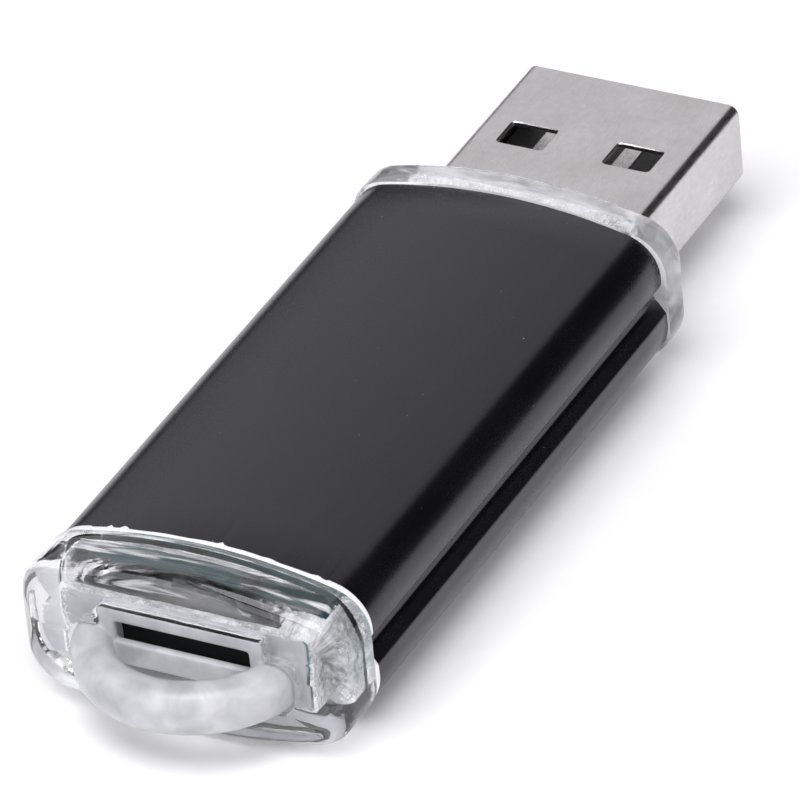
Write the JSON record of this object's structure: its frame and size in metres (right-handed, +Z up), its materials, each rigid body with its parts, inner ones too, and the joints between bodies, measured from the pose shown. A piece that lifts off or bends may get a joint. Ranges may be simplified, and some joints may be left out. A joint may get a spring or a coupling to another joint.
{
  "type": "usb flash drive",
  "caption": "USB flash drive: black extruded aluminium sleeve between clear end mouldings, type A plug at one end and a fixed lanyard loop at the other.",
  "frame": {"origin": "on the surface the drive lies on, under the middle of its length and width", "axes": "+X across the width, +Y along the drive and out of the plug, +Z up"},
  "size_m": [0.0176, 0.0542, 0.0091],
  "materials": {
    "black_anodised": "satin black anodised",
    "clear_plastic": "clear moulded polycarbonate",
    "milky_plastic": "frosted translucent plastic",
    "tray_plastic": "clear moulded plastic",
    "steel_sheet": "satin stamped sheet",
    "black_plastic": "matt moulded",
    "contact_metal": "thin gold plating",
    "board_laminate": "solder mask",
    "chip_epoxy": "moulded epoxy",
    "tinned_metal": "tin plated",
    "crystal_can": "nickel plated can",
    "led_lens": "clear epoxy lens",
    "tan_ceramic": "sintered ceramic",
    "black_ceramic": "glazed resistor film",
    "ferrite": "sintered ferrite",
    "solder": "reflowed solder"
  },
  "bodies": {
    "root": {"sleeve": "black_anodised", "front_collar": "clear_plastic", "rear_cap": "clear_plastic", "lanyard_loop": "milky_plastic", "lower_tray": "tray_plastic", "upper_tray": "tray_plastic", "plug_shell": "steel_sheet", "plug_tongue": "black_plastic", "power_contacts": "contact_metal", "data_contacts": "contact_metal", "circuit_board": "board_laminate", "flash_chip": "chip_epoxy", "flash_leads": "tinned_metal", "controller_chip": "chip_epoxy", "controller_leads": "tinned_metal", "crystal": "crystal_can", "status_led": "led_lens", "capacitors": "tan_ceramic", "resistors": "black_ceramic", "voltage_regulator": "chip_epoxy", "ferrite_bead": "ferrite", "solder_joints": "solder"}
  },
  "joints": []
}
